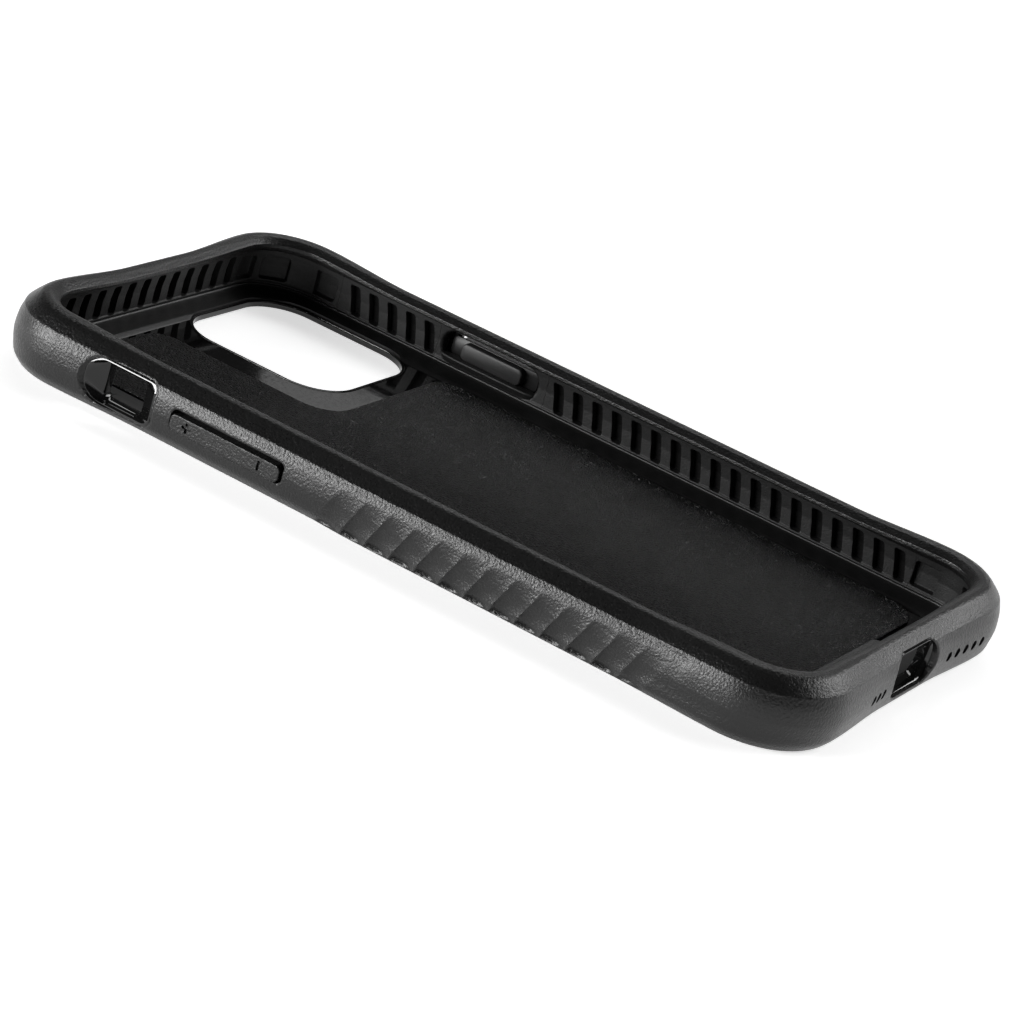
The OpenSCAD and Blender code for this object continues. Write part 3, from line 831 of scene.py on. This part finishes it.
def lining_outline(shrink):
    w, low, top = lining_high[0] - shrink, lining_low[1] + shrink, lining_high[1] - shrink
    cut_x, cut_y = -4.0 - shrink, 31.0 - shrink
    return fillet([(w, low), (w, cut_y), (cut_x, cut_y), (cut_x, top), (-w, top), (-w, low)],
                  [6, 3, 6, 4, 6, 6], 3.0, 9)


lining = inset_slab("grained_lining", lining_outline(0), lining_low[2], lining_high[2], 0.2, LINING)
place(lining, "case", "lining", "lining")
adhesive_low, adhesive_high = box_mm("lining_adhesive")
adhesive = inset_slab("lining_adhesive_film", lining_outline(1), adhesive_low[2], adhesive_high[2], 0.02,
                      ADHESIVE)
place(adhesive, "case", "adhesive", "lining_adhesive")

skin_low, skin_high = box_mm("back_skin")
skin_r, skin_in_r, skin_z, skin_top = FLANGE_R - 0.06, 4.0, skin_low[2], skin_high[2]
skin_section = np.array([(skin_in_r, skin_z), (FLANGE_R - 0.2, skin_z), (skin_r, skin_z + 0.15),
                         (skin_r, skin_top - 0.08), (FLANGE_R - 0.15, skin_top), (skin_in_r, skin_top)])
skin = filled_sweep("back_panel", skin_section, plain_stations, SKIN)
cut(skin, [camera_cutter(-1, 2)])
place(skin, "case", "skin", "back_skin")

# ---------------------------------------------------------------- shock strips, pads and collars
SLOT_Z, SLOT_HALF, SLOT_R = 5.65, (1.0, 2.6), 0.55
SLOT_LEAN = math.tan(math.radians(14))


def face_points(rows):
    """The strip's inner face from top to foot: it leans in at the top and has a bead along its foot."""
    z = np.linspace(STRIP_TOP, STRIP_LOW, rows)
    lean = np.interp(z, [6.0, 8.0, STRIP_TOP], [0.0, 0.3, 0.55])
    bead = 0.2 * smooth((3.25 - z) / 0.35)
    ends = 0.12 * smooth((z - STRIP_TOP + 0.12) / 0.12) + 0.15 * smooth((STRIP_LOW + 0.15 - z) / 0.15)
    return POCKET_R - lean - bead + ends, z


def strip_ring(station, face, cut_back, shift=0.0):
    """A strip's section at a station: its face, set back by cut_back, and then its flat back."""
    r = np.concatenate([np.minimum(face[0] + cut_back, STRIP_R - 0.2), [STRIP_R, STRIP_R]])
    z = np.concatenate([face[1], [STRIP_LOW, STRIP_TOP]])
    return to_points(station, r, z, shift)


def finish_strip(name, rings, cuts, node):
    """Joins a strip's rings, gives the faces deep in its recesses a darker rubber that is painted shade, and
    places it.
    """
    piece = sweep(name, rings, False, STRIP_RUBBER, STRIP_SHARP)
    piece.data.materials.append(STRIP_PAINTED_SHADE)
    cuts = np.concatenate([np.append(cut_back, [0, 0]) for cut_back in cuts])
    for face in piece.data.polygons:
        # Painted shade: faces whose mean depth passes the threshold get the darker rubber.
        face.material_index = int(cuts[list(face.vertices)].mean() > PAINTED_SHADE_DEPTH)
    return place(piece, "case", "strip", node)


def strip_piece(name, stations, depth, node, rows):
    """One strip along the given stations; depth(t, z, angle) is how far its face is cut back."""
    face = face_points(rows)
    cuts = [depth(s[4], face[1], s[2]) + np.zeros(rows) for s in stations]
    rings = [strip_ring(s, face, cut_back) for s, cut_back in zip(stations, cuts)]
    return finish_strip(name, rings, cuts, node)


def recess(distance, depth):
    """Depth of a recess whose wall slopes a little from its edge, where distance is 0."""
    return depth * smooth((0.04 - distance) / 0.24)


def slot_depth(t, z, centres, lean):
    """Depth of a row of rounded air slots at the given places."""
    centres = np.array(centres)
    u = t - lean * (z - SLOT_Z)
    nearest = centres[np.abs(centres[None, :] - u[:, None]).argmin(axis=1)]
    return recess(rect_distance(u - nearest, z - SLOT_Z, *SLOT_HALF, SLOT_R), SLOT_DEPTH)


def slot_marks(low, high, centres):
    """Positions along a strip that fall on the edges of its slots."""
    steps = np.array([-1.4, -1.12, -1.03, -0.95, -0.87, -0.78, -0.7, -0.4, 0.0])
    steps = np.concatenate([steps, -steps[:-1][::-1]])
    marks = [c + d for c in centres for d in steps]
    marks += [low, high] + list(np.arange(low + 0.8, high - 0.7, 1.6))
    marks = sorted(m for m in marks if low <= m <= high)
    kept = [marks[0]]
    for m in marks[1:]:
        if m - kept[-1] > 0.06:
            kept.append(m)
    kept[-1] = high
    return np.array(kept)


def leaning_strip(name, side, low, high, centres, lean, node):
    """A straight strip whose grid lines lean with its slots, so that their edges stay clean."""
    face = face_points(66)
    rings, cuts = [], []
    for mark in slot_marks(low, high, centres):
        ease = min(1.0, mark - low, high - mark)
        shift = lean * (face[1] - SLOT_Z) * ease
        cuts.append(slot_depth(mark + shift, face[1], centres, lean))
        rings.append(strip_ring(side_stations(side, [mark])[0], face, cuts[-1], np.append(shift, [0, 0])))
    return finish_strip(name, rings, cuts, node)


def extent(node, axis):
    low, high = box_mm(node)
    return low[axis], high[axis]


SIDE_PITCH, END_PITCH = 3.92, 4.19
lower_slots = [11.2 - SIDE_PITCH * i for i in range(18)]
upper_slots = [53.7 - SIDE_PITCH * i for i in range(5)]
top_slots = [(i - 5.5) * END_PITCH for i in range(12)]
leaning_strip("side_strip_left", LEFT, *extent("shock_strip_left", 1), lower_slots, SLOT_LEAN,
              "shock_strip_left")
leaning_strip("side_strip_right_lower", RIGHT, *extent("shock_strip_right_lower", 1), lower_slots, SLOT_LEAN,
              "shock_strip_right_lower")
leaning_strip("side_strip_right_upper", RIGHT, *extent("shock_strip_right_upper", 1), upper_slots, SLOT_LEAN,
              "shock_strip_right_upper")
leaning_strip("end_strip_top", TOP, *extent("shock_strip_top", 0), top_slots, 0.0, "shock_strip_top")


def bottom_strip(name, node, step):
    """One of the two short strips beside the port, with its slots counted from its outer end."""
    low, high = extent(node, 0)
    start = low if step > 0 else high
    piece = leaning_strip(name, BOTTOM, low, high, [start + step * (i + 0.5) for i in range(3)], 0.0, node)
    cut(piece, slot_cutters(), STRIP_SHARP)


bottom_strip("end_strip_bottom_left", "shock_strip_bottom_left", END_PITCH)
bottom_strip("end_strip_bottom_right", "shock_strip_bottom_right", -END_PITCH)


def corner_pad(name, node, quadrant):
    """A corner cushion with three rounded pockets: on the arc, near the end wall and on the long side."""
    low, high = box_mm(node)
    sx, sy = corner_signs(quadrant)
    y_end = low[1] if sy > 0 else high[1]
    x_end = low[0] if sx > 0 else high[0]
    long_side = side_stations(RIGHT if sx > 0 else LEFT, spread(*sorted((y_end, sy * CY)), 0.12))
    end_side = side_stations(TOP if sy > 0 else BOTTOM, spread(*sorted((x_end, sx * CX)), 0.3))
    if sx < 0:
        long_side = long_side[::-1]
    if sy > 0:
        end_side = end_side[::-1]
    first, last = (long_side, end_side) if quadrant in (0, 2) else (end_side, long_side)
    stations = first[:-1] + arc_stations(quadrant, 130) + last[1:]

    def pocket(u, z, half_w):
        return recess(rect_distance(np.full_like(z, u), z - SLOT_Z, half_w, 2.2, 0.6), PAD_DEPTH)

    def depth(t, z, angle):
        if t is None:
            into = angle - 90 * quadrant
            from_end = into if quadrant in (1, 3) else 90 - into
            return np.maximum(*(pocket(math.radians(from_end - centre) * POCKET_R, z, 2.5)
                                for centre in (45.0, 7.0)))
        if angle in (TOP, BOTTOM):
            return np.zeros_like(z)
        return pocket(t - sy * (CY - 2.0), z, 2.4)
    strip_piece(name, stations, depth, node, 60)


corner_pad("corner_cushion_top_right", "corner_pad_top_right", 0)
corner_pad("corner_cushion_top_left", "corner_pad_top_left", 1)
corner_pad("corner_cushion_bottom_left", "corner_pad_bottom_left", 2)
corner_pad("corner_cushion_bottom_right", "corner_pad_bottom_right", 3)


def collar(name, node, side, centre, half):
    """A plain run of wall with an oval pocket behind a button."""
    low, high = extent(node, 1)

    def depth(t, z, angle):
        d = rect_distance(np.full_like(z, t - centre[0]), z - centre[1], half[0], half[1], half[1] - 0.1)
        return round_edge(d, 0.5)
    piece = strip_piece(name, side_stations(side, spread(low, high, 0.25)), depth, node, 44)
    outline = rounded_rect(*centre, *half, half[1] - 0.1, 12)
    s = SIGN[side]
    xs = sorted([s * (CX + POCKET_R - 2), s * (CX + STRIP_R + 1)])
    cut(piece, [prism_x("cut_pocket", [(x, outline) for x in xs])], STRIP_SHARP)


collar("power_wall", "power_collar", RIGHT, (POWER[0][0], POWER[0][1] + 0.15), (POWER[1][0] + 1.75, 2.9))


def shelf(name, side, centre_y, half, top_z, reach):
    """A rounded shelf under a button's pocket, deepest in its middle."""
    s = SIGN[side]
    rings = []
    for u in np.sin(np.radians(np.linspace(-90, 90, 41))):
        nose = POCKET_R + 0.25 - (reach + 0.25) * max(0.0, 1 - abs(u) ** 5) ** 0.5
        back = STRIP_R - 0.3
        section = [(back, STRIP_LOW + 0.1), (POCKET_R + 0.15, STRIP_LOW + 0.08)]
        section += [(nose + 0.3 * (1 - math.cos(a)), top_z - 0.3 + 0.3 * math.sin(a))
                    for a in np.radians(np.linspace(-75, 90, 9))]
        section.append((back, top_z))
        rings.append([(s * (CX + r), centre_y + half * u, z) for r, z in section])
    place(sweep(name, rings, False, STRIP_RUBBER, STRIP_SHARP), "case", "strip")


shelf("power_shelf", RIGHT, centre_y=POWER[0][0], half=9.75, top_z=4.3, reach=0.85)
collar("volume_wall", "volume_collar", LEFT, (VOLUME[0][0], VOLUME[0][1] + 0.5), (VOLUME[1][0] + 1.2, 2.5))


# ---------------------------------------------------------------- buttons
FACE_X = SIDE_X + 0.02
KEY_R, KEY_EDGE = 0.95, 0.2
PLUS_HALF, MINUS_HALF, MARK_HALF_W, MARK_DEPTH = 0.88, 0.85, 0.24, 0.45


def key_cap(name, side, centre, half, x_back):
    """A rounded key: straight sides, a rolled edge and a flat face."""
    s = SIGN[side]
    rings = [(x_back, 0.0)]
    rings += [(FACE_X - KEY_EDGE * (1 - math.sin(a)), KEY_EDGE * (1 - math.cos(a)))
              for a in np.radians(np.linspace(0, 90, 7))]
    rings += [(FACE_X, KEY_EDGE + 0.25)]
    points = [side_ring(s * x, rounded_rect(*centre, half[0] - i, half[1] - i, max(KEY_R - i, 0.25), 8))
              for x, i in rings]
    return sweep(name, points, False, RUBBER, STRIP_SHARP)


def mark_cutter(y, half):
    """Cutter for one stroke of a mark sunk in the volume bar."""
    outline = rounded_rect(y, VOLUME[0][1], *half, min(half) - 0.01, 5)
    return prism_x("cut_mark", [(x, outline) for x in (-FACE_X - 1, -FACE_X + MARK_DEPTH)])


volume_bar = key_cap("volume_bar_cap", LEFT, *VOLUME, -volume_high[0])
plus_y, minus_y = VOLUME[0][0] + 7.3, VOLUME[0][0] - 6.6
cut(volume_bar, [mark_cutter(plus_y, (PLUS_HALF, MARK_HALF_W)), mark_cutter(plus_y, (MARK_HALF_W, PLUS_HALF)),
                 mark_cutter(minus_y, (MARK_HALF_W, MINUS_HALF))], BUMPER_SHARP)
place(volume_bar, "volume_rocker", "button", "volume_bar")
power_key = key_cap("power_key_cap", RIGHT, *POWER, power_low[0])
place(power_key, "power_button", "button", "power_key")


def presser(name, node, side, centre, half, feet, foot_half, body):
    """The plate behind a key with its feet, which stand at the given distances from its middle."""
    low, high = box_mm(node)
    s = SIGN[side]
    x_in, x_out = sorted([abs(low[0]), abs(high[0])])
    x_plate = x_out - 0.4
    plate = [(x_out, 0.08), (x_out - 0.08, 0), (x_plate + 0.08, 0), (x_plate, 0.08)]
    rings = [side_ring(s * x, rounded_rect(*centre, half[0] - i, half[1] - i, 0.8 - i, 6)) for x, i in plate]
    piece = sweep(name, rings, False, PRESSER, STRIP_SHARP)
    for k, f in enumerate(feet):
        foot = [(x_plate + 0.05, 0), (x_in + 0.3, 0), (x_in + 0.09, 0.09), (x_in, 0.3)]
        outline = [side_ring(s * x, rounded_rect(centre[0] + f, centre[1], foot_half[0] - i, foot_half[1] - i,
                                                 1.0 - i, 6)) for x, i in foot]
        part = sweep(f"{name}_foot_{k + 1}", outline, False, PRESSER, STRIP_SHARP)
        place(part, body, "presser")
    place(piece, body, "presser", node)


presser("power_plunger", "power_presser", RIGHT, POWER[0], (POWER[1][0] + 0.9, POWER[1][1] + 0.3), [0],
        (6.2, POWER[1][1] + 0.15), "power_button")
presser("volume_plunger", "volume_presser", LEFT, VOLUME[0], (VOLUME[1][0] + 0.9, VOLUME[1][1] + 0.3),
        [-6.4, 6.4], (3.0, VOLUME[1][1] - 0.2), "volume_rocker")

# ---------------------------------------------------------------- floor, light and camera
FLOOR_HALF, FLOOR_DROP = 6.0, 2e-5
floor_mesh = bpy.data.meshes.new("studio_floor")
floor_mesh.from_pydata([(x * FLOOR_HALF, y * FLOOR_HALF, -FLOOR_DROP)
                        for x, y in ((-1, -1), (1, -1), (1, 1), (-1, 1))], [], [(0, 1, 2, 3)])
floor = bpy.data.objects.new("studio_floor", floor_mesh)
scene.collection.objects.link(floor)
floor_mat, floor_tree, floor_shader, floor_mm = node_tree("pale_floor")
floor_cloud = noise(floor_tree, floor_mm, 0.004, 2.0)
floor_tone = two_tone(floor_tree, floor_cloud, grey(0.9), grey(0.93))
floor_tree.links.new(floor_tone, floor_shader.inputs["Base Color"])
floor_shader.inputs["Roughness"].default_value = 0.9
floor_shader.inputs["Specular IOR Level"].default_value = 0.1
floor_shader.inputs["Emission Color"].default_value = (1, 1, 1, 1)
floor_shader.inputs["Emission Strength"].default_value = 0.64
floor_mesh.materials.append(floor_mat)


def direction(azimuth, elevation):
    """Unit vector; azimuth 0 is +Y and 90 is +X."""
    a, e = math.radians(azimuth), math.radians(elevation)
    return np.array([math.sin(a) * math.cos(e), math.cos(a) * math.cos(e), math.sin(e)])


def aim(obj, location, forward, roll=0.0):
    """Points obj's -Z along forward, turned by roll degrees about it."""
    f = Vector(forward).normalized()
    right = f.cross(Vector((0, 0, 1))).normalized()
    up = right.cross(f)
    rot = Matrix((right, up, -f)).transposed()
    obj.matrix_world = (Matrix.Translation(Vector(location)) @ rot.to_4x4()
                        @ Matrix.Rotation(math.radians(roll), 4, "Z"))


def softbox(name, azimuth, elevation, distance, width, height, power, about=(0, 0, 0)):
    """A rectangular light facing the point called about."""
    light = bpy.data.lights.new(name, "AREA")
    light.shape = "RECTANGLE"
    light.size, light.size_y = width, height
    light.energy = power
    obj = bpy.data.objects.new(name, light)
    scene.collection.objects.link(obj)
    d = direction(azimuth, elevation)
    aim(obj, np.array(about) + d * distance, -d)
    return obj


softbox("key_softbox", azimuth=-51, elevation=10, distance=1.6, width=1.05, height=0.42, power=38)
softbox("front_softbox", azimuth=128, elevation=31, distance=1.6, width=0.95, height=0.66, power=13)
softbox("back_softbox", azimuth=66, elevation=48, distance=1.6, width=1.2, height=0.34, power=5.0)
softbox("plate_card", azimuth=65, elevation=22, distance=0.6, width=0.1, height=0.03, power=0.0055,
        about=np.array([3.6, 43.5, FLOOR_Z]) * MM)

world = bpy.data.worlds.new("studio_world")
scene.world = world
world.use_nodes = True
sky = world.node_tree
sky.nodes.clear()
sky_out = sky.nodes.new("ShaderNodeOutputWorld")
background = sky.nodes.new("ShaderNodeBackground")
sky.links.new(background.outputs[0], sky_out.inputs["Surface"])
sky_coords = sky.nodes.new("ShaderNodeTexCoord")
split = sky.nodes.new("ShaderNodeSeparateXYZ")
sky.links.new(sky_coords.outputs["Generated"], split.inputs[0])
sky_ramp = sky.nodes.new("ShaderNodeValToRGB")
sky.links.new(split.outputs["Z"], sky_ramp.inputs["Fac"])
elements = sky_ramp.color_ramp.elements
elements[0].position, elements[0].color = 0.08, (1, 1, 1, 1)
elements[1].position, elements[1].color = 0.2, (0.03, 0.03, 0.03, 1)
sky.links.new(sky_ramp.outputs["Color"], background.inputs["Color"])
background.inputs["Strength"].default_value = 1.0

# The camera: it looks at TARGET from CAMERA_DISTANCE metres away and is turned by CAMERA_ROLL degrees.
TARGET = np.array([-13.14, -9.37, 5.0]) * MM
VIEW_AZIMUTH, VIEW_ELEVATION, CAMERA_DISTANCE, CAMERA_ROLL = 65.03, -21.93, 0.58072, 16.85
camera_data = bpy.data.cameras.new("camera")
camera_data.lens = 131.24
camera_data.sensor_width = 36
camera_data.clip_start = 0.01
camera = bpy.data.objects.new("camera", camera_data)
scene.collection.objects.link(camera)
view = direction(VIEW_AZIMUTH, VIEW_ELEVATION)
aim(camera, TARGET - view * CAMERA_DISTANCE, view, CAMERA_ROLL)
scene.camera = camera
scene.view_settings.view_transform = "Standard"
